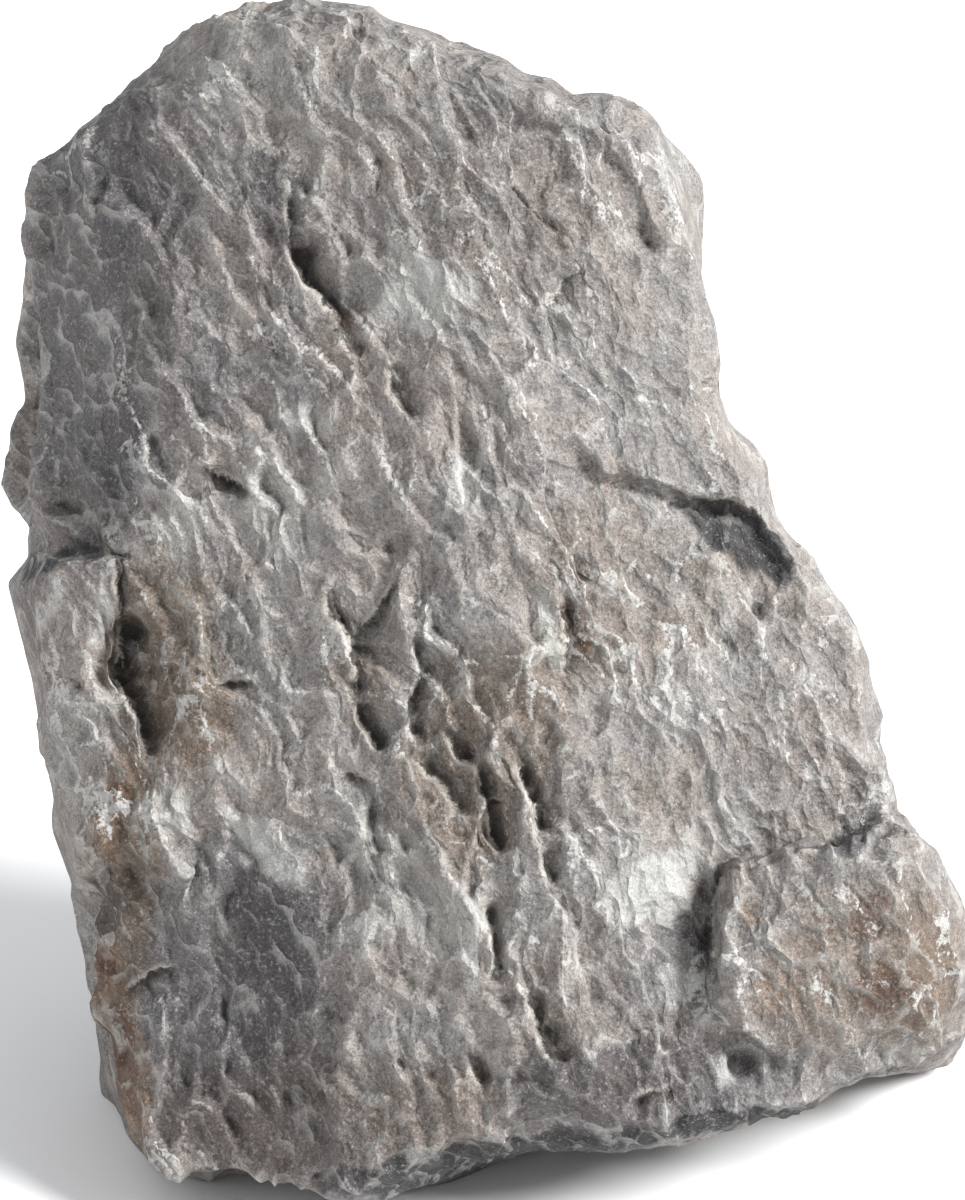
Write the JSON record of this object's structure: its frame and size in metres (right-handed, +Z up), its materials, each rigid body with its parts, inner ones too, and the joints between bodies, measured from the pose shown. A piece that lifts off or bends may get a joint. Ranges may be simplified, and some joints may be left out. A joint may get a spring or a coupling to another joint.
{
  "type": "rough rock",
  "caption": "Rough grey limestone boulder with a broad runnelled face, broken ledges and a flat bedding base, for gardens, rockeries and scenery.",
  "frame": {"origin": "centre of the bounding box in X and Y, on the flat bedding plane that the rock rests on", "axes": "+Z up, along the rock's height; the broad runnelled face looks towards -Y and leans back; +X to the right across it"},
  "size_m": [0.406, 0.2972, 0.4447],
  "materials": {
    "limestone": "weathered matt limestone with pale lime crust on the edges"
  },
  "bodies": {
    "root": {"rough_rock": "limestone"}
  },
  "joints": []
}
